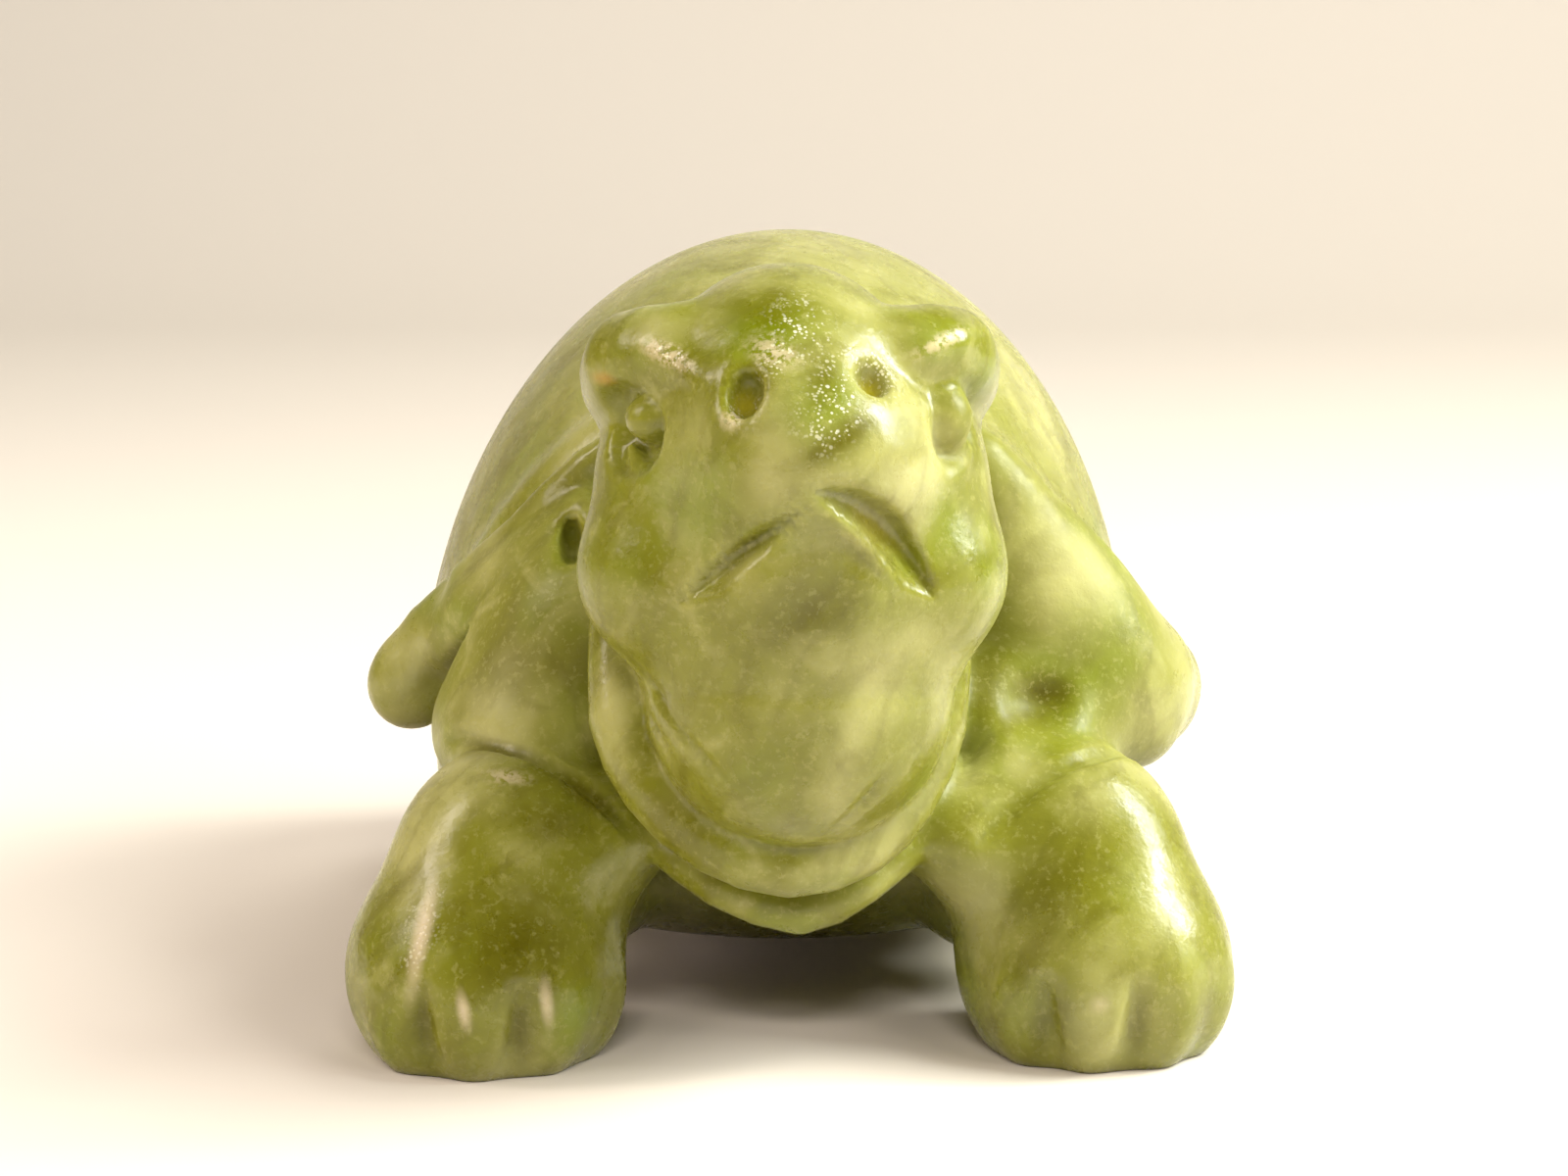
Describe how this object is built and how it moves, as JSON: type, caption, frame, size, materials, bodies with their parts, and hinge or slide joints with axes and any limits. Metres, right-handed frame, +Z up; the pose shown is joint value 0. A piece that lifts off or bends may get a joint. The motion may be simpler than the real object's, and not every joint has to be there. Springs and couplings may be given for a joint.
{
  "type": "serpentine turtle carving",
  "caption": "Small carved stone turtle standing on its feet with raised head, domed shell, neck folds and a low belly just clear of the table; ornament or paperweight.",
  "frame": {"origin": "middle of the carving's footprint box, at the level of the soles", "axes": "-Y is where the turtle faces, +X is on the right of someone who looks it in the face, +Z is up"},
  "size_m": [0.0719, 0.1189, 0.0647],
  "materials": {
    "stone": "polished, slightly waxy yellow-green serpentine with darker olive veins and paler clouds"
  },
  "bodies": {
    "root": {"turtle_carving": "stone"}
  },
  "joints": []
}
